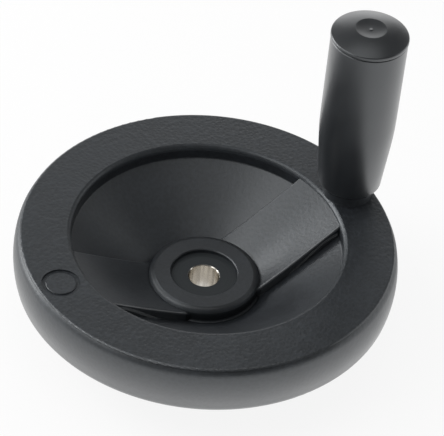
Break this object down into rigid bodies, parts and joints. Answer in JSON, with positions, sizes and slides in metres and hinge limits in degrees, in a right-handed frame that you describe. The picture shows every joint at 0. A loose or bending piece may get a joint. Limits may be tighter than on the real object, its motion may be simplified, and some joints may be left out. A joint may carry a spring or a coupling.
{
  "type": "machine handwheel",
  "caption": "Dished disc handwheel in black technopolymer with a round rim, a steel-bushed hub with a reamed bore, and a revolving side handle with a domed cap.",
  "frame": {"origin": "centre of the shaft bore in the hub's back face", "axes": "+Z along the wheel's axis from the hub's back towards the handle's side, +X from the axis to the handle"},
  "size_m": [0.128, 0.125, 0.1029],
  "materials": {
    "wheel_plastic": "satin",
    "bush_steel": "satin",
    "insert_brass": "satin",
    "spindle_steel": "satin",
    "washer_plastic": "satin",
    "handle_plastic": "satin"
  },
  "bodies": {
    "wheel": {"wheel_body": "wheel_plastic", "hub_bush": "bush_steel", "rim_insert": "insert_brass", "handle_spindle": "spindle_steel", "base_washer": "washer_plastic"},
    "grip": {"handle_grip": "handle_plastic", "handle_cap": "handle_plastic"}
  },
  "joints": [
    {"name": "grip_spin", "type": "hinge", "parent": "wheel", "child": "grip", "pos_m": [0.053, 0, 0.068], "axis": [0, 0, 1], "continuous": true}
  ]
}
